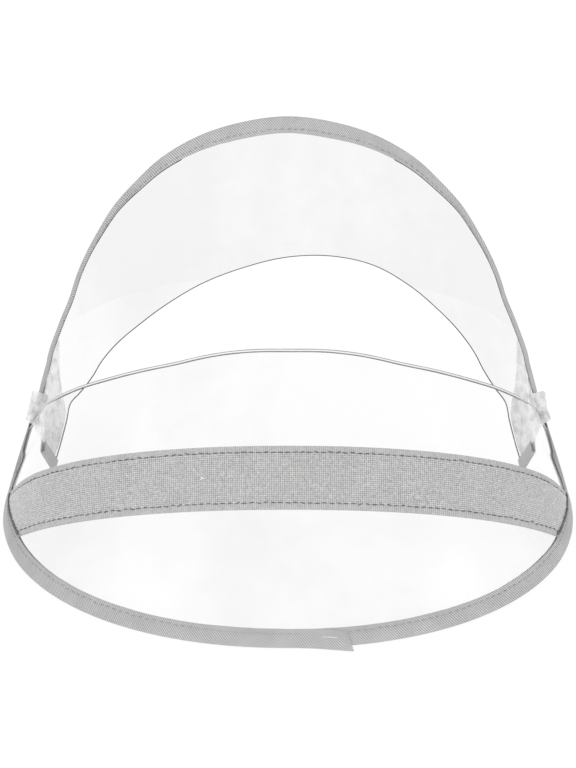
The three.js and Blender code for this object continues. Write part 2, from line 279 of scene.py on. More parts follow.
def unit(v: Array) -> Array:
    """Scales vectors to length one."""
    return v / np.maximum(np.linalg.norm(v, axis=-1, keepdims=True), 1e-12)


def place(side: float, back: float, up: float) -> Array:
    """A point from shares of the half width, rear reach and rear rise."""
    return np.array([side * BONNET.half_width, back * BONNET.rear_reach, up * BONNET.rear_rise])


def smooth(points: Array, steps: int) -> Array:
    """A centripetal spline through points.

    Args:
        points: The points to pass through.
        steps: Stations to each interval.

    Returns:
        The stations.
    """
    p = np.vstack([2 * points[0] - points[1], points, 2 * points[-1] - points[-2]])
    out = []
    for i in range(len(points) - 1):
        a, b, c, d = p[i : i + 4]
        da, db, dc = (max(np.linalg.norm(x) ** 0.5, 1e-4) for x in (b - a, c - b, d - c))
        m0 = ((b - a) / da - (c - a) / (da + db) + (c - b) / db) * db
        m1 = ((c - b) / db - (d - b) / (db + dc) + (d - c) / dc) * db
        t = np.arange(steps)[:, None] / steps
        out.append(
            b + m0 * t + (3 * c - 3 * b - 2 * m0 - m1) * t**2 + (2 * b - 2 * c + m0 + m1) * t**3
        )
    return np.vstack([*out, points[-1:]])


def resample(points: Array, count: int) -> Array:
    """Points spread evenly by length along a line.

    Args:
        points: The line.
        count: How many intervals.

    Returns:
        The even points.
    """
    run = run_of(points)
    at = np.linspace(0, run[-1], count + 1)
    return np.stack([np.interp(at, run, points[:, k]) for k in range(3)], axis=1)


def run_of(points: Array) -> Array:
    """Length along a line up to each of its points."""
    return np.concatenate([[0], np.cumsum(np.linalg.norm(np.diff(points, axis=0), axis=1))])


@dataclass
class Panel:
    """A film's middle surface as rulings from its bound rim to its bare edge."""

    rim: Array
    bare: Array

    def __post_init__(self) -> None:
        share = np.linspace(0, 1, ROWS + 1)[None, :, None]
        self.grid = self.rim[:, None] * (1 - share) + self.bare[:, None] * share
        along = np.gradient(self.grid, axis=0)
        across = np.gradient(self.grid, axis=1)
        self.normals = unit(np.cross(along, across))

    def at(self, s: Array, t: Array, lift: Array | float = 0.0) -> Array:
        """Points on the film.

        Args:
            s: Stations along the rim.
            t: Shares from the rim to the bare edge.
            lift: Height along the normal.

        Returns:
            The points.
        """
        s, t, lift = spread(s, t, lift)
        i = np.clip(np.floor(s).astype(int), 0, len(self.rim) - 2)
        j = np.clip(np.floor(t * ROWS).astype(int), 0, ROWS - 1)
        a, b = (s - i)[..., None], (t * ROWS - j)[..., None]
        out = []
        for g in (self.grid, self.normals):
            low = g[i, j] * (1 - a) + g[i + 1, j] * a
            out.append(low * (1 - b) + (g[i, j + 1] * (1 - a) + g[i + 1, j + 1] * a) * b)
        return out[0] + unit(out[1]) * lift[..., None]

    def stand(self, s: Array, t: Array) -> tuple[Array, Array]:
        """Points on the film and the normals there."""
        base = self.at(s, t)
        return base, self.at(s, t, 1.0) - base


def front_panel() -> Panel:
    """The front film, corner to corner.

    Returns:
        Its panel.
    """
    size = BONNET
    tip = np.array([0, size.cone_back, size.cone_rise])
    power = 2 / size.squareness
    rim, bare = [], []
    for turn, cut in FRONT_SECTIONS:
        angle = math.radians(turn)
        foot = np.array(
            [size.half_width * math.sin(angle) ** power, -size.front_reach * math.cos(angle) ** power, 0]
        )
        rim.append(foot)
        bare.append(foot + (tip - foot) * size.visor_cut * cut)
    last, end = bare[-1], place(*BARE_END)
    for *row, toward in SIDE_SECTIONS:
        rim.append(place(*row))
        bare.append(last + (end - last) * toward)
    return Panel(
        *(smooth(np.array([p * FLIP for p in half[:0:-1]] + half), STEPS) for half in (rim, bare))
    )


def rear_panel() -> tuple[Panel, int]:
    """The rear film from the right horn over the back to the left one.

    Returns:
        Its panel, and the station where the binding starts.
    """
    size = BONNET
    rim = [place(*row[:3]) for row in HORN_SECTIONS]
    bare = [place(*row[3:]) for row in HORN_SECTIONS]
    for side, back, up, width, lean, inward in REAR_SECTIONS:
        top = place(side, back, up)
        slope, wide = math.radians(lean), width * size.rear_width
        rim.append(top)
        bare.append(top - [inward * size.half_width, wide * math.cos(slope), wide * math.sin(slope)])
    rim, bare = (np.array(half + [p * FLIP for p in half[-2::-1]]) for half in (rim, bare))
    share = np.clip(bare[:, 0] / (size.skew_span * size.half_width), -1, 1)
    bare[:, 2] += size.rear_skew * np.sin(math.pi * share)
    return Panel(smooth(rim, STEPS), smooth(bare, STEPS)), len(HORN_SECTIONS) * STEPS


@dataclass
class TapePath:
    """Frames along the binding: the film's edge, the way in, the normals, and the cover."""

    origin: Array
    inward: Array
    leg: Array
    normal: Array
    leg_normal: Array
    cover: Array

    def __add__(self, other: "TapePath") -> "TapePath":
        return TapePath(*(np.concatenate([a, b]) for a, b in zip(self.parts(), other.parts())))

    def parts(self) -> tuple[Array, ...]:
        """The path's arrays."""
        return (self.origin, self.inward, self.leg, self.normal, self.leg_normal, self.cover)

    def cut(self, low: int, high: int) -> "TapePath":
        """Part of the path."""
        return TapePath(*(a[low:high] for a in self.parts()))

    def point(self, i: Array, u: Array, v: Array) -> Array:
        """Points of a folded tape at fractional stations.

        Args:
            i: Stations, fractional.
            u: Distance in from the film's edge.
            v: Distance out from the film's middle.

        Returns:
            The points.
        """
        i, u, v = spread(i, u, v)
        k = np.floor(i).astype(int)
        a = (i - k)[..., None]
        size = len(self.origin)
        mixed = []
        for part in (self.origin, self.inward, self.leg, self.normal, self.leg_normal):
            mixed.append(part[k % size] * (1 - a) + part[(k + 1) % size] * a)
        origin, inward, leg, normal, leg_normal = mixed
        cover = self.cover[k % size] * (1 - a[..., 0]) + self.cover[(k + 1) % size] * a[..., 0]
        share = np.clip(u / cover, 0, 1)[..., None]
        lift = unit(normal * (1 - share) + leg_normal * share)
        way = np.where(u[..., None] > 0, leg, inward)
        return origin + way * u[..., None] + lift * v[..., None]


def edge_path(panel: Panel, low: int, high: int, pinch: Pair) -> TapePath:
    """The tape's frames along a film's rim.

    Args:
        panel: The film.
        low: First station bound.
        high: One past the last.
        pinch: How far from each end the tape stays curled narrow, and where it is wide again.

    Returns:
        The path.
    """
    rim = panel.rim[low:high]
    along = unit(np.gradient(rim, axis=0))
    run = run_of(rim)
    near = np.minimum(run, run[-1] - run)
    share = np.clip((near - pinch[0]) / (pinch[1] - pinch[0]), 0, 1)
    cover = TAPE.pinch_cover + (TAPE.cover - TAPE.pinch_cover) * share * share * (3 - 2 * share)
    leg = panel.bare[low:high] - rim
    length = np.linalg.norm(leg, axis=1)
    leg = unit(leg)
    inward = unit(leg - along * np.sum(leg * along, axis=1, keepdims=True))
    leg = leg / np.sum(leg * inward, axis=1, keepdims=True)
    reach = np.clip(cover * np.linalg.norm(leg, axis=1) / length, 0, 1)
    s = np.arange(low, high)
    return TapePath(rim, inward, leg, panel.normals[low:high, 0], panel.stand(s, reach)[1], cover)


def corner_path(a: TapePath, b: TapePath, corner: Array) -> TapePath:
    """The tape's frames where it turns from one film to the other.

    Args:
        a: The path that it leaves, at its end.
        b: The path that it joins, at its start.
        corner: A point that it passes.

    Returns:
        The path between them.
    """
    line = smooth(np.array([a.origin[-1], corner, b.origin[0]]), 24)
    count = round(run_of(line)[-1] / TAPE.turn_step)
    edge = resample(line, count)
    along = unit(np.gradient(edge, axis=0))
    run = run_of(edge)
    t = np.clip((run - TAPE.straight_run) / (run[-1] - 2 * TAPE.straight_run), 0, 1)
    turn = (t * t * (3 - 2 * t))[:, None]
    start, stop = a.inward[-1], b.inward[0]
    mid = unit(start + stop)
    inward = np.where(turn < 0.5, start + (mid - start) * turn * 2, mid + (stop - mid) * (turn * 2 - 1))
    inward = unit(inward - along * np.sum(inward * along, axis=1, keepdims=True))
    normal = np.cross(along, inward)
    cover = np.full(len(edge), TAPE.pinch_cover)
    return TapePath(edge, inward, inward, normal, normal, cover).cut(1, len(edge) - 1)


# Meshes


@dataclass
class Mesh:
    """Points, faces, and their texture places in millimetres, gathered piece by piece."""

    name: str
    slot: Slot

    def __post_init__(self) -> None:
        self.points: list[Array] = []
        self.faces: list[Face] = []
        self.places: list[Array] = []
        self.marks: list[int] = []
        self.count = 0

    def add(
        self,
        points: Array,
        faces: list[Face],
        places: Array | None = None,
        marks: list[int] | None = None,
    ) -> None:
        """Adds a shape.

        Args:
            points: Its points.
            faces: Its faces by point.
            places: Texture places by point.
            marks: Which of the piece's materials each face has, the first where nothing is said.
        """
        points = np.asarray(points, float).reshape(-1, 3)
        if places is None:
            places = np.zeros((len(points), 2))
        self.points.append(points)
        self.places.append(np.asarray(places, float).reshape(-1, 2))
        self.faces.extend(tuple(k + self.count for k in face) for face in faces)
        self.marks.extend(marks or [0] * len(faces))
        self.count += len(points)

    def build(self, materials: list[Material], *replaced: str, sharp: float = 40.0) -> None:
        """Makes the object and puts it on the part.

        Args:
            materials: The piece's materials by mark.
            replaced: CAD nodes that it stands for.
            sharp: Angle in degrees above which an edge shades sharp.
        """
        data = bpy.data.meshes.new(self.name)
        points = (np.vstack(self.points) + SHIFT) * MM
        data.from_pydata(points.tolist(), [], self.faces)
        for material in materials:
            data.materials.append(material)
        data.polygons.foreach_set("material_index", self.marks)
        layer = data.uv_layers.new(name="place")
        loops = np.zeros(len(data.loops), int)
        data.loops.foreach_get("vertex_index", loops)
        layer.data.foreach_set("uv", np.vstack(self.places)[loops].ravel())
        data.validate()
        made = bmesh.new()
        made.from_mesh(data)
        bmesh.ops.remove_doubles(made, verts=made.verts, dist=1e-7)
        bmesh.ops.recalc_face_normals(made, faces=made.faces)
        made.to_mesh(data)
        made.free()
        data.shade_smooth()
        data.set_sharp_from_angle(angle=math.radians(sharp))
        obj = bpy.data.objects.new(self.name, data)
        bpy.context.scene.collection.objects.link(obj)
        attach(obj, "root")
        if replaced:
            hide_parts(*replaced)
        log.info("%s: %d faces", self.name, len(data.polygons))


def grid_faces(rows: int, columns: int, closed: bool = False, first: int = 0) -> list[Face]:
    """Quads of a grid stored row by row.

    Args:
        rows: Rows of points.
        columns: Points to a row.
        closed: Whether the last column joins the first.
        first: Number of the first point.

    Returns:
        The quads.
    """
    corners = ((0, 0), (1, 0), (1, 1), (0, 1))
    return [
        tuple(first + (i + down) * columns + (j + on) % columns for down, on in corners)
        for i in range(rows - 1)
        for j in range(columns if closed else columns - 1)
    ]


def rod_faces(rows: int, columns: int, first: int = 0) -> list[Face]:
    """Faces of a rod made of rings, with both its ends.

    Args:
        rows: How many rings.
        columns: Points to a ring.
        first: Number of the first point.

    Returns:
        The faces.
    """
    last = first + (rows - 1) * columns
    ends = [tuple(range(first, first + columns)), tuple(range(last, last + columns))[::-1]]
    return grid_faces(rows, columns, True, first) + ends


def folded(
    leg: list[Pair], outer: float, tuck: float, flat: float, count: int, inside: list[Pair]
) -> list[Pair]:
    """Outline of a folded tape, from one leg's end round the fold to the other's and back inside.

    Args:
        leg: One leg's outside, from its end.
        outer: How far the fold's outside is from the film's middle.
        tuck: How far out the fold starts.
        flat: How round the fold is, with 1 for a half circle.
        count: Points on the fold.
        inside: The other leg's inside, from its end.

    Returns:
        Points in from the film's edge and out from its middle.
    """
    fold = [(-tuck - outer * math.sin(a) * flat, outer * math.cos(a)) for a in np.linspace(0, math.pi, count)]
    back, again = ([(u, -v) for u, v in half[::-1]] for half in (leg, inside))
    return leg + fold + back + inside + again


def wall(mesh: Mesh, low: Array, high: Array, places: Array, edge: int = 0) -> None:
    """Adds a closed wall between two grids of points.

    Args:
        mesh: Where it goes.
        low: One face's points, rows by columns.
        high: The other's.
        places: Texture places, rows by columns.
        edge: Mark of the faces' last strip and of the cut edges, but for the first column's.
    """
    n, m = low.shape[:2]
    marks = ([0] * (m - 2) + [edge]) * (n - 1)
    mesh.add(high, grid_faces(n, m), places, marks)
    mesh.add(low, [f[::-1] for f in grid_faces(n, m)], places, marks)
    ring = (
        [(i, 0) for i in range(n)]
        + [(n - 1, j) for j in range(1, m)]
        + [(i, m - 1) for i in range(n - 2, -1, -1)]
        + [(0, j) for j in range(m - 2, -1, -1)]
    )
    rows = np.array([[low[i, j], high[i, j]] for i, j in ring])
    spots = np.array([[(places[i, j][0], side) for side in (0, 1)] for i, j in ring])
    mesh.add(rows, grid_faces(len(rows), 2), spots, [0] * (n - 1) + [edge] * (len(ring) - n))


def tube(mesh: Mesh, line: Array, radius: float, sides: int = 5) -> None:
    """Adds a thread along a line, with tapered ends.

    Args:
        mesh: Where it goes.
        line: The thread's middle.
        radius: Its radius.
        sides: Facets round it.
    """
    along = unit(np.gradient(line, axis=0))
    helper = np.where(np.abs(along[:, 2:3]) > 0.9, np.array([[1.0, 0, 0]]), np.array([[0, 0, 1.0]]))
    u = unit(np.cross(along, helper))
    v = np.cross(along, u)
    turn = np.linspace(0, 2 * math.pi, sides, endpoint=False)
    thick = np.full(len(line), radius)
    thick[[0, -1]] *= 0.45
    ring = u[:, None] * np.cos(turn)[None, :, None] + v[:, None] * np.sin(turn)[None, :, None]
    points = line[:, None] + ring * thick[:, None, None]
    places = np.stack(np.broadcast_arrays(run_of(line)[:, None], turn[None] / math.tau), axis=-1)
    mesh.add(points, rod_faces(len(line), sides), places)


# Finishes


class Graph:
    """A node tree, with short ways to add nodes and to link them."""

    def __init__(self, tree: bpy.types.NodeTree) -> None:
        self.tree = tree

    def put(self, node: Node, key: str | int, value: object) -> None:
        """Sets an input of a node, or links it.

        Args:
            node: The node.
            key: The input's name or number.
            value: Its value, or the socket to link.
        """
        if isinstance(value, Socket):
            self.tree.links.new(value, node.inputs[key])
        else:
            node.inputs[key].default_value = value

    def set(self, node: Node, **values: object) -> None:
        """Sets a node's properties and inputs.

        Args:
            node: The node.
            values: Properties and inputs by name; an underscore stands for a space.
        """
        for key, value in values.items():
            if hasattr(node, key):
                setattr(node, key, value)
            else:
                self.put(node, key.replace("_", " "), value)

    def add(self, kind: str, **values: object) -> Node:
        """Adds a node.

        Args:
            kind: Its type, without the first part that all share.
            values: Its properties and inputs.

        Returns:
            The node.
        """
        node = self.tree.nodes.new(f"ShaderNode{kind}")
        self.set(node, **values)
        return node

    def calc(self, operation: str, *values: Socket | float) -> Socket:
        """Adds a Math node.

        Args:
            operation: What it does.
            values: Its numbers or sockets.

        Returns:
            Its output.
        """
        node = self.add("Math", operation=operation)
        for k, value in enumerate(values):
            self.put(node, k, value)
        return node.outputs[0]

    def blend(self, a: Socket, share: float, b: Socket, rest: float) -> Socket:
        """Adds two values by shares."""
        return self.calc("ADD", self.calc("MULTIPLY", a, share), self.calc("MULTIPLY", b, rest))

    def lean(self, a: Socket, b: Socket, rest: float) -> Socket:
        """Adds a share of one value to another."""
        return self.calc("ADD", a, self.calc("MULTIPLY", b, rest))

    def where(self, kind: str) -> Socket:
        """Coordinates."""
        return self.add("TexCoord").outputs[kind]

    def parts(self, vector: Socket) -> list[Socket]:
        """Splits a vector."""
        return list(self.add("SeparateXYZ", Vector=vector).outputs)

    def ramp(self, value: Socket, *stops: Pair) -> Socket:
        """Turns a value into a grey by stops.

        Args:
            value: The value.
            stops: Place and grey of each stop.

        Returns:
            The colour.
        """
        node = self.add("ValToRGB", Fac=value)
        elements = node.color_ramp.elements
        while len(elements) < len(stops):
            elements.new(0.5)
        for element, (spot, grey) in zip(elements, stops):
            element.position = spot
            element.color = (grey, grey, grey, 1)
        return node.outputs["Color"]

    def noise(self, where: Socket, scale: float, detail: float = 3.0) -> Socket:
        """Adds a noise."""
        return self.add("TexNoise", Vector=where, Scale=scale, Detail=detail).outputs[0]

    def bump(self, shader: Node, height: Socket, distance: float, strength: float = 1.0) -> None:
        """Links a height to the shader's normal."""
        node = self.add("Bump", Height=height, Distance=distance, Strength=strength)
        self.put(shader, "Normal", node.outputs["Normal"])

    def veil(self, shader: Node, share: Socket, tint: object) -> None:
        """Mixes the shader with plain see-through, as the surface.

        Args:
            shader: The shader.
            share: Its share.
            tint: Colour of what is let through.
        """
        through = self.add("BsdfTransparent", Color=tint)
        mix = self.add("MixShader")
        for k, value in enumerate((share, through.outputs[0], shader.outputs[0])):
            self.put(mix, k, value)
        self.put(self.tree.nodes["Material Output"], "Surface", mix.outputs[0])


@dataclass(frozen=True)
class Finish:
    """A look, made as a material of shader nodes."""

    name: str

    def build(self) -> Material:
        """Makes the material.

        Returns:
            The material.
        """
        material = bpy.data.materials.new(self.name)
        material.use_nodes = True
        tree = material.node_tree
        self.draw(Graph(tree), tree.nodes["Principled BSDF"])
        return material

    def draw(self, graph: Graph, shader: Node) -> None:
        """Adds the look's nodes. Each finish has its own."""
        raise NotImplementedError


@dataclass(frozen=True)
class FilmFinish(Finish):
    """Clear soft film: it lets light straight through, and mirrors a little of the room, softly.

    Attributes:
        clear: Share of light let through where the film is clearest, in its painted bright stripes.
        dull: The same where it is darkest, between the painted bright stripes and above the painted shade
            step.
        level: Height in metres above which the tint is a little darker, a painted shade step.
        ior: Index of refraction, for the mirrored share.
        ripple: Depth in metres of its ripples.
        upright: Scale along Z, against 1 across, of the painted reflection stripes, which run upright.
    """

    clear: float
    dull: float
    level: float = 10.0
    ior: float = 1.4
    ripple: float = 0.0006
    upright: float = 0.14

    def draw(self, graph: Graph, shader: Node) -> None:
        """Adds the look's nodes.

        Args:
            graph: The material's tree.
            shader: Its shader.
        """
        where = graph.where("Object")
        stretched = graph.add("Mapping", Vector=where, Scale=(1.0, 1.0, self.upright)).outputs[0]
        # Painted light in the see-through tint: upright noise stripes stand for the room's reflections, and
        # the step above level is painted shade
        painted_reflection_bands, haze = graph.noise(stretched, 17.0, 2.0), graph.noise(where, 130.0, 4.0)
        high = graph.calc("GREATER_THAN", graph.parts(where)[2], self.level)
        clarity_with_painted_light = graph.calc("SUBTRACT", graph.blend(painted_reflection_bands, 0.8, haze, 0.2), graph.calc("MULTIPLY", high, 0.1))
        rough = graph.calc("MULTIPLY_ADD", haze, 0.16, 0.12)
        graph.set(shader, Base_Color=(1, 1, 1, 1), Metallic=1.0, Roughness=rough)
        graph.bump(shader, graph.lean(graph.noise(where, 26.0, 2.0), haze, 0.05), self.ripple, 0.6)
        mirror = graph.add("Fresnel", IOR=self.ior).outputs[0]
        front = graph.calc("SUBTRACT", 1.0, graph.add("NewGeometry").outputs["Backfacing"])
        tint = graph.ramp(clarity_with_painted_light, (0.36, self.dull), (0.58, self.clear))
        graph.veil(shader, graph.calc("MULTIPLY", mirror, front), tint)


@dataclass(frozen=True)
class CutEdgeFinish(Finish):
    """The film's cut edge: painted shade as two dark lines with paler film between, standing for how light
    gathers at its corners.

    Attributes:
        line: Grey of the painted dark lines.
        core: Grey between them.
    """

    line: float
    core: float

    def draw(self, graph: Graph, shader: Node) -> None:
        """Adds the look's nodes.

        Args:
            graph: The material's tree.
            shader: Its shader.
        """
        spots = graph.noise(graph.where("Object"), 120.0)
        sway = graph.calc("MULTIPLY_ADD", spots, 0.3, -0.15)
        across = graph.calc("ADD", graph.parts(graph.where("UV"))[1], sway)
        stops = ((0.2, self.line), (0.34, self.core), (0.62, self.core), (0.78, self.line * 1.2))
        graph.set(shader, Base_Color=graph.ramp(across, *stops), Roughness=0.3, Specular_IOR_Level=0.3)
        graph.bump(shader, spots, 0.0001)


@dataclass(frozen=True)
class FrostedFinish(Finish):
    """Milky, wrinkled film of the loops, webs and ribbons: clear in places, whitish in its creases."""

    name: str = "frosted_film"
    pale: float = 0.9
    grey: float = 0.62

    def draw(self, graph: Graph, shader: Node) -> None:
        """Adds the look's nodes.

        Args:
            graph: The material's tree.
            shader: Its shader.
        """
        where = graph.where("Object")
        cloud = graph.noise(where, 210.0, 5.0)
        graph.set(shader, Base_Color=graph.ramp(cloud, (0.36, self.grey), (0.56, self.pale)), Roughness=0.35)
        graph.bump(shader, cloud, 0.0009, 0.8)
        share = graph.ramp(graph.noise(where, 330.0), (0.3, 0.3), (0.7, 0.62))
        graph.veil(shader, share, (1, 1, 1, 1))


@dataclass(frozen=True)
class TwillFinish(Finish):
    """Grey twill: slanted ribs about a millimetre apart, each of short floats, with a little fuzz.

    Attributes:
        dark: Grey between the ribs.
        light: Grey on them.
        along: Ribs to a millimetre along the tape.
        across: The same across it.
        floats: Threads to a millimetre along the tape.
    """

    name: str = "twill_tape"
    dark: float = 0.25
    light: float = 0.66
    along: float = 1.01
    across: float = 0.81
    floats: float = 3.03

    def draw(self, graph: Graph, shader: Node) -> None:
        """Adds the look's nodes.

        Args:
            graph: The material's tree.
            shader: Its shader.
        """
        run, wide, _ = graph.parts(graph.where("UV"))
        where = graph.where("Object")
        fuzz, patch = graph.noise(where, 1400.0, 4.0), graph.noise(where, 110.0)
        slant = graph.blend(run, math.tau * self.along, wide, -math.tau * self.across)
        rib = graph.calc("SINE", graph.lean(slant, fuzz, 1.3))
        thread = graph.calc("SINE", graph.calc("MULTIPLY", run, math.tau * self.floats))
        height = graph.calc("MULTIPLY_ADD", graph.lean(rib, thread, 0.35), 0.37, 0.5)
        mixed = graph.calc("SUBTRACT", graph.lean(height, patch, 0.35), 0.17)
        tone = graph.ramp(mixed, (0.05, self.dark), (0.95, self.light))
        graph.set(shader, Base_Color=tone, Roughness=0.85, Sheen_Weight=0.15)
        graph.bump(shader, graph.lean(height, fuzz, 0.3), 0.00022)


@dataclass(frozen=True)
class WeaveFinish(Finish):
    """Grey thread or woven tape, spotted.

    Attributes:
        dark: Grey where it is darkest.
        light: Grey where it is lightest.
        scale: Scale of the spots, to a metre.
    """

    dark: float
    light: float
    scale: float = 900.0

    def draw(self, graph: Graph, shader: Node) -> None:
        """Adds the look's nodes.

        Args:
            graph: The material's tree.
            shader: Its shader.
        """
        where = graph.where("Object")
        fine, patch = graph.noise(where, self.scale, 4.0), graph.noise(where, self.scale / 12, 2.0)
        tone = graph.ramp(graph.blend(fine, 0.9, patch, 0.1), (0.3, self.dark), (0.7, self.light))
        graph.set(shader, Base_Color=tone, Roughness=0.8, Sheen_Weight=0.12)
        graph.bump(shader, fine, 0.00012)


@dataclass(frozen=True)
class FloorFinish(Finish):
    """A pale table, lit from within.

    Attributes:
        tone: Its grey.
        glow: Strength of its light.
    """

    name: str = "floor"
    tone: float = 0.15
    glow: float = 5.72

    def draw(self, graph: Graph, shader: Node) -> None:
        """Adds the look's nodes.

        Args:
            graph: The material's tree.
            shader: Its shader.
        """
        spots = graph.noise(graph.where("Object"), 3.0)
        tone = graph.ramp(spots, (0.3, self.tone), (0.7, self.tone * 1.01))
        graph.set(shader, Base_Color=tone, Emission_Color=tone, Emission_Strength=self.glow)
        graph.set(shader, Roughness=0.9, Specular_IOR_Level=0.1)


# Pieces


@dataclass
class FilmPanel:
    """A clear film panel with its cut edge.

    Attributes:
        name: The piece's name.
        node: The CAD node that it stands for.
        panel: Its middle surface.
        thick: Its thickness.
        line: Width of the strip along its bare edge painted like the cut, with the cut edge's painted dark
            lines.
    """

    name: str
    node: str
    panel: Panel
    thick: float
    line: float

    def build(self, film: Material, edge: Material) -> None:
        """Makes the panel, gently rippled as soft film is.

        Args:
            film: Its material.
            edge: Its cut edge's.
        """
        long = np.linalg.norm(self.panel.bare - self.panel.rim, axis=1, keepdims=True)
        share = np.broadcast_to(np.linspace(0, 1, ROWS + 1)[None, :-1], (len(long), ROWS))
        share = np.hstack([share, 1 - self.line / long, np.ones_like(long)])
        grid, normals = self.panel.stand(np.arange(len(long))[:, None], share)
        x, y, z = np.moveaxis(grid, -1, 0)
        wave = 0.12 * np.sin(x / 9.0 + z / 13.0) * np.sin(y / 11.0 + 1.0)
        wave = wave + 0.08 * np.sin(x / 4.3 + y / 7.1)
        fade = np.sin(np.pi * (0.06 + 0.88 * share))
        middle = grid + normals * (wave * fade)[..., None]
        half = self.thick / 2
        run = np.broadcast_to(run_of(self.panel.rim)[:, None], grid.shape[:2])
        mesh = Mesh(self.name, Slot.FILM)
        wall(mesh, middle - normals * half, middle + normals * half, np.stack([run, share == 1], -1), 1)
        mesh.build([film, edge], self.node, sharp=50)


class Binding:
    """The twill tape round the whole edge, its lapped end, its seam, and a dark cord of painted shade along
    its inner lip.
    """

    def __init__(self, path: TapePath, slots: Array, front_count: int, looks: dict[str, Material]) -> None:
        """Takes the tape's path."""
        self.path, self.slots, self.front_count, self.looks = path, slots, front_count, looks
        self.run = run_of(np.vstack([path.origin, path.origin[:1]]))

    def station(self, run: Array) -> Array:
        """Fractional stations at lengths round the loop."""
        return np.interp(np.mod(run, self.run[-1]), self.run, np.arange(len(self.run)))

    def front_station(self, x: Array | float) -> Array:
        """Fractional stations on the front rim."""
        return np.interp(x, self.path.origin[: self.front_count, 0], np.arange(self.front_count))

    def widths(self, stations: Array) -> tuple[Array, Array]:
        """The tape's cover and half slot at fractional stations."""
        order = np.arange(len(self.slots))
        return np.interp(stations, order, self.path.cover), np.interp(stations, order, self.slots)

    def outline(self, cover: float, inner: float, thick: float) -> list[Pair]:
        """Outline of the folded tape.

        Args:
            cover: How far the legs reach in.
            inner: Half of the slot.
            thick: The tape's thickness.

        Returns:
            Points in from the film's edge and out from its middle.
        """
        outer = inner + thick
        inset = min(TAPE.seam_inset, 0.3 * cover)
        seam = cover - inset
        leg = [
            (cover, outer - 0.1),
            (cover - 0.17 * inset, outer + 0.03),
            (seam + 0.3 * inset, outer + 0.02),
            (seam, outer - 0.13),
            (seam - 0.3 * inset, outer + 0.04),
            (cover * 0.45, outer + 0.12),
            (cover * 0.2, outer + 0.07),
        ]
        inside = [(cover, -inner), (cover * 0.5, -inner), (0.0, -inner)]
        return folded(leg, outer, TAPE.tuck, TAPE.fold, 9, inside)

    def sweep(
        self, mesh: Mesh, stations: Array, outlines: Array, closed: bool, slide: Array | float = 0.0
    ) -> None:
        """Adds a tape swept through stations.

        Args:
            mesh: Where it goes.
            stations: Fractional stations.
            outlines: One outline for each.
            closed: Whether it is a loop.
            slide: How far its points are moved along X.
        """
        points = self.path.point(stations[:, None], outlines[..., 0], outlines[..., 1])
        points[..., 0] += slide
        count, size = outlines.shape[:2]
        wide = np.array([run_of(outline) for outline in outlines])
        run = np.interp(stations, np.arange(len(self.run)), self.run)
        places = np.stack([np.broadcast_to(run[:, None], wide.shape), wide], -1)
        if closed:
            faces = grid_faces(count, size, closed=True)
            last = (count - 1) * size
            faces += [(last + k, k, (k + 1) % size, last + (k + 1) % size) for k in range(size)]
        else:
            faces = rod_faces(count, size)
        mesh.add(points, faces, places)

    def build(self) -> None:
        """Makes the tape, its lap, its stitches and its painted shade cord."""
        rng = np.random.default_rng(5)
        count = len(self.path.origin)
        outlines = np.array([self.outline(c, s, TAPE.thick) for c, s in zip(self.path.cover, self.slots)])
        sway = np.convolve(rng.normal(0, 1, count + 8), np.ones(9) / 9, "valid")[:count]
        for leg_end in (slice(0, 2), slice(22, 25)):
            outlines[:, leg_end, 0] += TAPE.sway * sway[:, None]
        mesh = Mesh("binding_tape", Slot.TWILL)
        self.sweep(mesh, np.arange(count, dtype=float), outlines, True)
        mesh.build([self.looks["twill_tape"]], "edge_binding", sharp=60)
        self.build_lap()
        self.build_seam()
        self.build_lip_shade()
        self.build_loose_stitch()

    def build_lap(self) -> None:
        """Makes the tape's end, lapped over its start and cut at a slant."""
        count = 26
        stations = np.linspace(*self.front_station(TAPE.lap), count)
        share = np.linspace(0, 1, count)
        lift = -0.16 + 0.4 * np.minimum(share * 1.6, 1)
        inner, thick = TAPE.slot + TAPE.thick, TAPE.thick * 0.9
        outline = np.array([self.outline(TAPE.cover, inner + rise, thick) for rise in lift])
        outline[..., 0] -= (TAPE.lap_slant * share**2)[:, None]
        slant = np.clip((share - 0.75) * 4, 0, 1)[:, None] * (TAPE.cover * 0.5 - outline[..., 0]) / TAPE.cover
        mesh = Mesh("binding_lap", Slot.TWILL)
        self.sweep(mesh, stations, outline, False, TAPE.lap_slant * slant)
        mesh.build([self.looks["twill_tape"]], sharp=60)

    def build_seam(self) -> None:
        """Makes the uneven stitches along both legs."""
        rng = np.random.default_rng(11)
        mesh = Mesh("binding_seam", Slot.TWILL)
        shape = np.array([-0.26, -0.06, 0.0, -0.06, -0.26])
        for start in np.arange(0, self.run[-1] - TAPE.stitch_pitch, TAPE.stitch_pitch):
            at = start + np.linspace(0, TAPE.stitch_length * (1 + rng.normal(0, 0.08)), 5)
            station = self.station(at)
            cover, slot = self.widths(station)
            u = cover - np.minimum(TAPE.seam_inset, 0.3 * cover)
            u = u + rng.normal(0, 0.12) + np.linspace(-1, 1, 5) * rng.normal(0.0, 0.14)
            for way in (1, -1):
                v = way * (slot + TAPE.thick + shape)
                tube(mesh, self.path.point(station, u, v), TAPE.thread)
        mesh.build([self.looks["binding_thread"]])

    def build_lip_shade(self) -> None:
        """Makes the dark cord of painted shade along the tape's inner lip, where it is curled, over the back.
        """
        mesh = Mesh("binding_selvedge", Slot.TWILL)
        first, last = self.run[self.front_count], self.run[-2]
        for low, high in ((first, first + TAPE.lip_run), (last - TAPE.lip_run, last)):
            stations = self.station(np.linspace(low, high, round(TAPE.lip_run)))
            cover, slot = self.widths(stations)
            for way in (1, -1):
                line = self.path.point(stations, cover + 0.06, way * (slot + TAPE.thick * 0.5))
                tube(mesh, line, TAPE.lip)
        mesh.build([self.looks["selvedge_cord"]])

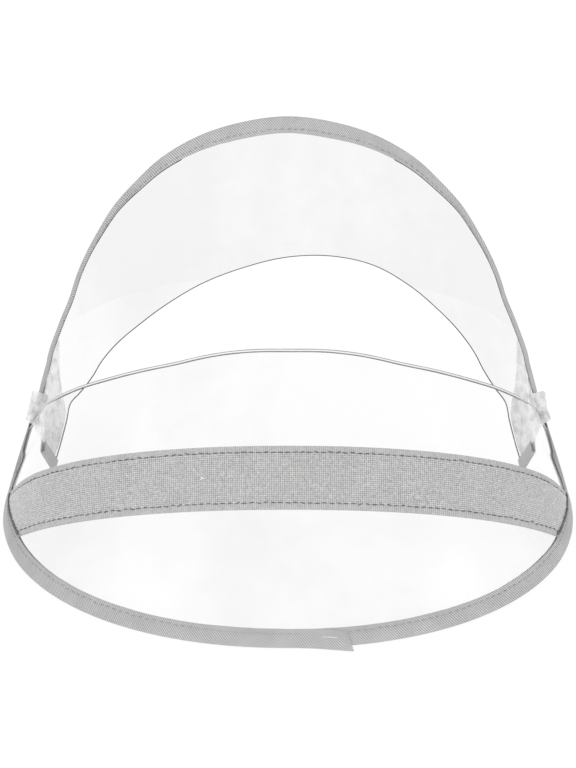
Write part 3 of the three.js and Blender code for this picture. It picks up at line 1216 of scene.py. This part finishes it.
    def build_loose_stitch(self) -> None:
        """Makes the pale loose end of thread by the lap."""
        middle = float(self.front_station(TAPE.loose_spot))
        bend = np.linspace(0, 1, 9)
        rise = TAPE.slot + 2.6 * TAPE.thick + 0.5 * np.sin(np.pi * bend)
        line = self.path.point(middle + (bend - 0.5) * TAPE.loose_length, 3.2 - 0.6 * bend, rise)
        mesh = Mesh("loose_stitch", Slot.TWILL)
        tube(mesh, line, TAPE.loose_thread, 6)
        mesh.build([self.looks["pale_thread"]])


def gap(a: Array, b: Array) -> float:
    """How far two points are apart."""
    return float(np.linalg.norm(a - b))


def meet(a: Array, b: Array, from_a: float, from_b: float) -> Array:
    """The flat point at two distances from two others, on the right of the way between them.

    Args:
        a: One point.
        b: The other.
        from_a: Distance from the first.
        from_b: Distance from the other.

    Returns:
        The point.
    """
    way = b - a
    length = np.linalg.norm(way)
    x = (from_a * from_a - from_b * from_b + length * length) / (2 * length)
    y = math.sqrt(max(from_a * from_a - x * x, 0))
    way = way / length
    return np.array([a[0] + way[0] * x + way[1] * y, a[1] + way[1] * x - way[0] * y])


class HookBand:
    """The hook tape: ribbed selvedges, a field of small hooks in rows, seams and end tacks."""

    def __init__(self, panel: Panel, looks: dict[str, Material]) -> None:
        """Lays the panel out flat, with the rim's front at the origin.

        Args:
            panel: The film that the band is sewn to.
            looks: The materials by name.
        """
        self.panel, self.looks = panel, looks
        low, high = self.flatten()
        middle = (len(low) - 1) // 2
        axis = unit(high[middle] - low[middle])
        across = np.array([axis[1], -axis[0]])
        self.feet, self.heads = ((part - low[middle]) @ np.stack([across, axis], 1) for part in (low, high))

    def flatten(self) -> tuple[Array, Array]:
        """Lays the panel out flat, ruling by ruling.

        Returns:
            The rim's and the bare edge's flat points.
        """
        rim, bare = self.panel.rim, self.panel.bare
        low = [np.zeros(2)]
        high = [np.array([0, gap(rim[0], bare[0])])]
        for i in range(1, len(rim)):
            a, b = low[-1], high[-1]
            foot = meet(a, b, gap(rim[i], rim[i - 1]), gap(rim[i], bare[i - 1]))
            low.append(foot)
            high.append(meet(foot, b, gap(bare[i], rim[i]), gap(bare[i], bare[i - 1])))
        return np.array(low), np.array(high)

    def row(self, height: float) -> tuple[Array, Array, Array, Pair]:
        """Where a straight line across the flat panel lies on the bent one.

        Args:
            height: The line's height above the rim's front.

        Returns:
            Flat places along the line, points and normals there, and the flat places of the band's ends.
        """
        t = (height - self.feet[:, 1]) / (self.heads[:, 1] - self.feet[:, 1])
        x = self.feet[:, 0] + (self.heads[:, 0] - self.feet[:, 0]) * t
        room = np.min(np.hypot(self.feet[None, :, 0] - x[:, None], self.feet[None, :, 1] - height), axis=1)
        good = (t > 0) & (t < 1) & (room > BAND.inset - BAND.spare)
        middle = len(t) // 2
        low, high = middle, middle
        while low > 0 and good[low - 1]:
            low -= 1
        while high < len(t) - 1 and good[high + 1]:
            high += 1
        s = np.arange(low, high + 1)
        halves = ((slice(low, middle + 1), 1), (slice(middle, high + 1), -1))
        ends = tuple(np.interp(BAND.inset, room[half][::way], x[half][::way]) for half, way in halves)
        return x[s], *self.panel.stand(s, t[s]), ends

    def at(self, height: float, x: Array, lift: Array | float) -> Array:
        """Points above one line of the band.

        Args:
            height: The line's height.
            x: Flat places along it.
            lift: Height above the film's middle.

        Returns:
            The points.
        """
        xs, *parts, _ = self.row(height)
        base, normal = (np.stack([np.interp(x, xs, part[:, k]) for k in range(3)], -1) for part in parts)
        return base + normal * np.asarray(lift)[..., None]

    def dot(self, height: float, x: float, lift: float) -> Array:
        """One point above the band."""
        return self.at(height, np.array([x]), np.array([lift]))[0]

    def span(self, height: float) -> Pair:
        """The band's two ends on one line."""
        return self.row(height)[-1]

    @staticmethod
    def columns(low: float, high: float, spare: float) -> Array:
        """Places of hooks or ribs, evenly along a line."""
        first, last = math.ceil((low + spare) / BAND.pitch), math.floor((high - spare) / BAND.pitch)
        return np.arange(first, last + 1) * BAND.pitch

    def build(self) -> None:
        """Makes the tape and what is on it."""
        share = np.linspace(0, 1, 280)
        low, high, spots = [], [], []
        for h in np.linspace(BAND.bottom, BAND.top, 26):
            a, b = self.span(h)
            x = a + (b - a) * share
            low.append(self.at(h, x, BAND.foot))
            high.append(self.at(h, x, BAND.foot + BAND.thick * BAND.ground))
            spots.append(np.stack(np.broadcast_arrays(x, h), -1))
        mesh = Mesh("hook_tape", Slot.HOOK)
        wall(mesh, np.array(low), np.array(high), np.array(spots))
        mesh.build([self.looks["hook_ground"]], "hook_band")
        self.build_hooks()
        self.build_ribs()
        self.build_seams()
        self.build_stray_thread()

    def build_hooks(self) -> None:
        """Makes the field of small hooks between the selvedges."""
        rng = np.random.default_rng(3)
        mesh = Mesh("hook_field", Slot.HOOK)
        foot = BAND.foot + BAND.thick * BAND.hook_root
        for h in np.arange(BAND.bottom + BAND.selvedge + 0.5, BAND.top - BAND.selvedge - 0.3, BAND.pitch):
            x = self.columns(*self.span(h), 0.8)
            x = x + rng.normal(0, 0.03, len(x))
            wide = BAND.knob * (1 + rng.normal(0, 0.1, len(x)))
            tall = BAND.thick * BAND.hook_rise * (1 + rng.normal(0, 0.15, len(x)))
            layers = []
            for size, rise in HOOK_RINGS:
                ring = [
                    self.at(h + down * BAND.knob * size, x + on * wide * size, foot + tall * rise)
                    for on, down in HOOK_CORNERS
                ]
                layers.append(np.stack(ring, 1))
            faces = []
            for o in range(0, 12 * len(x), 12):
                for k in (o, o + 4):
                    faces += [(k + c, k + (c + 1) % 4, k + 4 + (c + 1) % 4, k + 4 + c) for c in range(4)]
                faces += [(o + 8, o + 9, o + 10, o + 11), (o + 3, o + 2, o + 1, o)]
            mesh.add(np.stack(layers, 1), faces)
        mesh.build([self.looks["hook_hooks"]], sharp=80)

    def build_ribs(self) -> None:
        """Makes the selvedges' ribs."""
        mesh = Mesh("hook_tape_ribs", Slot.HOOK)
        foot = BAND.foot + BAND.thick * BAND.rib_root
        count = len(RIB_PROFILE)
        for start, stop in ((BAND.bottom, BAND.bottom + BAND.selvedge), (BAND.top - BAND.selvedge, BAND.top)):
            levels = np.linspace(start + 0.05, stop - 0.05, 4)
            lows, highs = zip(*(self.span(h) for h in levels))
            x = self.columns(max(lows), min(highs), 0.4)
            rows = []
            for h, tall in zip(levels, (0.55, 1.0, 1.0, 0.55)):
                row = [self.at(h, x + on * BAND.pitch * 1.15, foot + up * tall) for on, up in RIB_PROFILE]
                rows.append(row)
            size = len(levels) * count
            faces = [face for n in range(len(x)) for face in rod_faces(len(levels), count, n * size)]
            mesh.add(np.moveaxis(np.array(rows), 2, 0), faces)
        mesh.build([self.looks["hook_ribs"]], sharp=80)

    def build_seams(self) -> None:
        """Makes both seams, and the tacks over the band's ends."""
        rng = np.random.default_rng(8)
        mesh = Mesh("hook_tape_seams", Slot.HOOK)
        lift = BAND.foot + BAND.thick * BAND.ground
        shape = np.array([-0.25, 0.12, 0.2, 0.12, -0.25])
        for h in (BAND.bottom + BAND.selvedge + 0.05, BAND.top - BAND.selvedge - 0.05):
            a, b = self.span(h)
            for start in np.arange(a + 0.6, b - 2.8, BAND.stitch_pitch):
                x = start + np.linspace(0, BAND.stitch_length, 5)
                off, slope = rng.normal(0, BAND.stitch_sway), rng.normal(0, BAND.stitch_sway)
                line = [self.dot(h + off + slope * (k - 2), x[k], lift + shape[k]) for k in range(5)]
                tube(mesh, np.array(line), BAND.thread)
        levels = np.arange(BAND.bottom + 0.3, BAND.top - 0.2, BAND.tack_pitch)
        for end, way in enumerate((1, -1)):
            zigzag = []
            for k, h in enumerate(levels):
                x = self.span(h)[end] + way * BAND.tack_reach[k % 2] + rng.normal(0, 0.16)
                zigzag.append(self.dot(h, x, lift + 0.5))
            tube(mesh, smooth(np.array(zigzag), 3), BAND.tack_thread)
        mesh.build([self.looks["seam_thread"]])

    def build_stray_thread(self) -> None:
        """Makes one stray end of thread on the hooks."""
        x, h = BAND.stray_spot
        lift = BAND.foot + BAND.thick * BAND.ground
        line = []
        for k in np.linspace(0, 1, 10):
            rise = lift + 0.6 + 0.3 * math.sin(3.1 * k)
            line.append(self.dot(BAND.bottom + h + 0.9 * k, x + 1.4 * math.sin(3 * k), rise))
        mesh = Mesh("stray_thread", Slot.HOOK)
        tube(mesh, np.array(line), BAND.stray_thread, 6)
        mesh.build([self.looks["pale_thread"]])


class Corner:
    """One side's corner: the frosted loop round the binding, its web and ribbon to the horn, and the tab."""

    def __init__(self, side: Side, path: TapePath, rear: Panel, looks: dict[str, Material]) -> None:
        """Takes the corner's curves."""
        self.side, self.path, self.rear, self.looks = side, path, rear, looks
        self.word = side.name.lower()

    def build(self) -> None:
        """Makes the corner's pieces."""
        self.build_loop()
        self.build_web()
        self.build_ribbon()
        self.build_tab()

    def build_frosted(self, name: str, low: Array, high: Array, places: Array, *replaced: str) -> None:
        """Makes a piece of frosted film.

        Args:
            name: Its name without the side's.
            low: One face's points.
            high: The other's.
            places: Texture places.
            replaced: The CAD node that it stands for.
        """
        mesh = Mesh(f"{name}_{self.word}", Slot.FROSTED)
        wall(mesh, low, high, places)
        mesh.build([self.looks["frosted_film"]], *replaced, sharp=60)

    def loop_stations(self, count: int) -> Array:
        """Stations of the corner's path under the loop.

        Args:
            count: How many.

        Returns:
            The stations.
        """
        run = run_of(self.path.origin)
        middle = run[-1] / 2 - self.side.value * CORNER_SIZES.loop_drop
        near = np.flatnonzero(np.abs(run - middle) < CORNER_SIZES.loop_length / 2)
        return np.linspace(near[0], near[-1], count)

    def horn(self, s: Array | float) -> Array | float:
        """Rear stations counted from this side's horn tip."""
        return s if self.side is Side.RIGHT else len(self.rear.rim) - 1 - s

    def build_loop(self) -> None:
        """Makes the loop."""
        rng = np.random.default_rng(20 + self.side.value)
        size = CORNER_SIZES
        stations = self.loop_stations(16)
        turn = np.linspace(0, 2 * math.pi, 26, endpoint=False)
        rings = []
        for radius in (0.0, size.loop_film):
            rows = []
            for k, s in enumerate(stations):
                ruffle = 0.22 * np.sin(3 * turn + 0.8 * k)
                ruffle = ruffle + 0.14 * np.sin(7 * turn - 1.1 * k + self.side.value)
                u = TAPE.pinch_cover / 2 - 0.4 + np.cos(turn) * (size.loop_reach + radius + ruffle)
                v = np.sin(turn) * (size.loop_depth + radius + ruffle)
                row = self.path.point(np.full(26, s + 0.12 * rng.normal()), u, v)
                rows.append(np.vstack([row, row[:1]]))
            rings.append(np.array(rows))
        spots = np.stack(np.broadcast_arrays(stations[:, None], np.linspace(0, 20, 27)[None]), -1)
        self.build_frosted("loop", *rings, spots, f"side_loop_{self.word}")

    def build_web(self) -> None:
        """Makes the loose film between the loop and the horn's outer edge."""
        size = CORNER_SIZES
        inner = self.rear.at(self.horn(np.linspace(*size.web_ends, 36)), size.web_inset, -size.web_lift)
        side = self.path.point(self.loop_stations(9), TAPE.pinch_cover / 2 + 2.4, 0.0)
        if side[0, 2] > side[-1, 2]:
            side = side[::-1]
        sag = inner[:1] * 0.45 + side[:1] * 0.55 + (inner[8:9] - side[:1]) * 0.2
        outer = smooth(np.vstack([inner[:1] * 0.97 + side[:1] * 0.03, sag, side]), 8)
        outer = resample(outer, len(inner) - 1)
        share = np.linspace(0, 1, 12)
        grid = inner[:, None] + (outer - inner)[:, None] * share[None, :, None]
        normal = unit(np.cross(np.gradient(grid, axis=0), np.gradient(grid, axis=1)))
        k = np.arange(len(inner))[:, None]
        wave = 0.5 * np.sin(8 * share + 0.23 * k) + 0.25 * np.sin(19 * share - 0.31 * k)
        grid = grid + normal * (wave * np.sin(np.pi * share))[..., None]
        spots = np.stack(np.broadcast_arrays(k, share * 12), -1)
        self.build_frosted("web", grid - normal * size.web_film, grid + normal * size.web_film, spots)

    def build_ribbon(self) -> None:
        """Makes the wrinkled ribbon that lines the horn, narrower toward the loop."""
        size = CORNER_SIZES
        s = np.linspace(*size.ribbon_ends, 48)
        fade = np.clip((s / STEPS - 2.5) / 1.3, 0, 1)[:, None]
        grid_s, grid_t = np.meshgrid(self.horn(s), np.linspace(0.0, 1.0, 16), indexing="ij")
        start, stop = 0.03 + 0.09 * fade, 0.97 - 0.79 * fade
        grid_t = start + (stop - start) * grid_t
        fold = 0.55 * np.sin(9 * grid_t + 0.12 * s[:, None]) + 0.3 * np.sin(21 * grid_t - 0.2 * s[:, None])
        lift = size.ribbon_lift + size.ribbon_ruffle * fold
        base, top = (self.rear.at(grid_s, grid_t, -(lift + way * size.ribbon_film)) for way in (-1, 1))
        self.build_frosted("ribbon", base, top, np.stack([grid_s, grid_t * 20], -1))

    def build_tab(self) -> None:
        """Makes the grey tape folded over the horn's end."""
        size = CORNER_SIZES
        cover, inner, outer = size.tab_cover, size.tab_slot, size.tab_depth
        leg = [(cover, outer - 0.1), (cover * 0.6, outer + 0.1), (cover * 0.2, outer + 0.05)]
        outline = np.array(folded(leg, outer, 0.2, 0.6, 7, [(cover, -inner), (0.0, -inner)]))
        t = np.linspace(-size.tab_spare, 1 + size.tab_spare, 16)
        on_film = np.clip(t, 0, 1)
        tip, normal = self.rear.stand(self.horn(0.0), on_film)
        way, normal = unit(self.rear.at(self.horn(2.0), on_film) - tip), unit(normal)
        long = tip[-1] - tip[0]
        tip = tip + unit(long) * ((t - on_film)[:, None] * np.linalg.norm(long))
        points = tip[:, None] + way[:, None] * outline[None, :, :1] + normal[:, None] * outline[None, :, 1:]
        spots = np.stack(np.broadcast_arrays(t[:, None] * size.tab_long, run_of(outline)[None]), -1)
        mesh = Mesh(f"tab_{self.word}", Slot.TWILL)
        mesh.add(points, rod_faces(len(t), len(outline)), spots)
        mesh.build([self.looks["twill_tape"]], f"end_tab_{self.word}", sharp=60)


# Studio


@dataclass(frozen=True)
class Studio:
    """Camera, lights and floor, in metres."""

    elevation: float = 29.5
    distance: float = 1.0
    focal: float = 118.2
    sensor: float = 36
    target: tuple[float, float, float] = (0.0, -0.0022, 0.0597)
    floor_size: float = 6.0
    light_size: float = 1.6
    surround: float = 1.02

    def build(self) -> None:
        """Makes the studio."""
        self.camera()
        self.floor()
        self.world()
        self.lights()

    def mount(self, name: str, data: bpy.types.ID, spot: Vector, way: Vector) -> bpy.types.Object:
        """Puts a camera or a light in the scene.

        Args:
            name: Its name.
            data: Its data.
            spot: Where it is.
            way: Which way it looks.

        Returns:
            The object.
        """
        obj = bpy.data.objects.new(name, data)
        obj.location = spot
        obj.rotation_mode = "QUATERNION"
        obj.rotation_quaternion = way.to_track_quat("-Z", "Y")
        bpy.context.scene.collection.objects.link(obj)
        return obj

    def camera(self) -> None:
        """Puts the camera where the photograph was taken from."""
        data = bpy.data.cameras.new("camera")
        data.lens = self.focal
        data.sensor_width = self.sensor
        rise = math.radians(self.elevation)
        back = Vector((0, -math.cos(rise), math.sin(rise)))
        spot = Vector(self.target) + back * self.distance
        bpy.context.scene.camera = self.mount("camera", data, spot, -back)

    def floor(self) -> None:
        """Makes the plain pale floor."""
        size = self.floor_size
        data = bpy.data.meshes.new("floor")
        corners = [(-size, -size, 0), (size, -size, 0), (size, size, 0), (-size, size, 0)]
        data.from_pydata(corners, [], [(0, 1, 2, 3)])
        data.materials.append(FloorFinish().build())
        obj = bpy.data.objects.new("floor", data)
        bpy.context.scene.collection.objects.link(obj)

    def world(self) -> None:
        """Makes a pale surround, a little darker above."""
        scene = bpy.context.scene
        scene.view_settings.view_transform = "Standard"
        scene.world = bpy.data.worlds.new("studio")
        scene.world.use_nodes = True
        graph = Graph(scene.world.node_tree)
        level = graph.ramp(graph.parts(graph.where("Generated"))[2], (0.0, 1.0), (0.3, 0.95), (0.8, 0.6))
        graph.set(graph.tree.nodes["Background"], Color=level, Strength=self.surround)

    def lights(self) -> None:
        """Makes three soft boxes."""
        for name, spot, power in (
            ("key", (-0.9, -1.1, 0.9), 9.0),
            ("fill", (1.0, -1.1, 0.8), 6.8),
            ("back", (0.0, 1.3, 1.2), 6.0),
        ):
            data = bpy.data.lights.new(name, "AREA")
            data.shape = "RECTANGLE"
            data.size, data.size_y = self.light_size, self.light_size * 0.7
            data.energy = power
            self.mount(name, data, Vector(spot), Vector(self.target) - Vector(spot))


FINISHES = (
    FilmFinish("clear_film", 0.988, 0.962),
    # The rear film's copy lets less through than the front's: painted shade, with a painted shade step above
    # 0.062 m
    FilmFinish("clear_film_rear", 0.976, 0.936, 0.062),
    # Cut edges: dark lines painted on the cut and on a strip beside it, painted shade standing for how light
    # gathers and bends at the cut
    CutEdgeFinish("front_film_edge", 0.26, 0.8),
    CutEdgeFinish("rear_film_edge", 0.13, 0.16),
    FrostedFinish(),
    TwillFinish(),
    WeaveFinish("hook_ground", 0.28, 0.4),
    WeaveFinish("hook_hooks", 0.49, 0.71),
    WeaveFinish("hook_ribs", 0.42, 0.56),
    WeaveFinish("seam_thread", 0.06, 0.17),
    WeaveFinish("binding_thread", 0.16, 0.42),
    # Painted shade: a near-black cord standing for the tape's shaded inner lip
    WeaveFinish("selvedge_cord", 0.03, 0.12),
    WeaveFinish("pale_thread", 0.75, 0.9),
)


def main() -> None:
    """Builds the bonnet and its studio."""
    Studio().build()
    front = front_panel()
    rear, bound = rear_panel()
    looks = {finish.name: finish.build() for finish in FINISHES}
    for name, node, panel, thick, line, film in (
        ("front_film", "front_panel", front, BONNET.front_film, BONNET.front_line, "clear_film"),
        ("rear_film", "rear_panel", rear, BONNET.rear_film, BONNET.rear_line, "clear_film_rear"),
    ):
        FilmPanel(name, node, panel, thick, line).build(looks[film], looks[f"{name}_edge"])
    front_path = edge_path(front, 0, len(front.rim), TAPE.front_pinch)
    rear_path = edge_path(rear, bound, len(rear.rim) - bound, TAPE.rear_pinch)
    right = corner_path(front_path, rear_path, place(*CORNER))
    left = corner_path(rear_path, front_path, place(*CORNER) * FLIP)
    loop = front_path + right + rear_path + left
    stops = np.cumsum([0, *(len(path.origin) for path in (front_path, right, rear_path, right))])
    levels = (TAPE.slot, TAPE.slot, TAPE.rear_slot, TAPE.rear_slot, TAPE.slot)
    slots = np.interp(np.arange(stops[-1]), stops, levels)
    slots = slots + TAPE.slack * (TAPE.cover - loop.cover) / TAPE.cover
    Binding(loop, slots, len(front.rim), looks).build()
    HookBand(front, looks).build()
    Corner(Side.LEFT, left, rear, looks).build()
    Corner(Side.RIGHT, right, rear, looks).build()


if __name__ == "__main__":
    main()
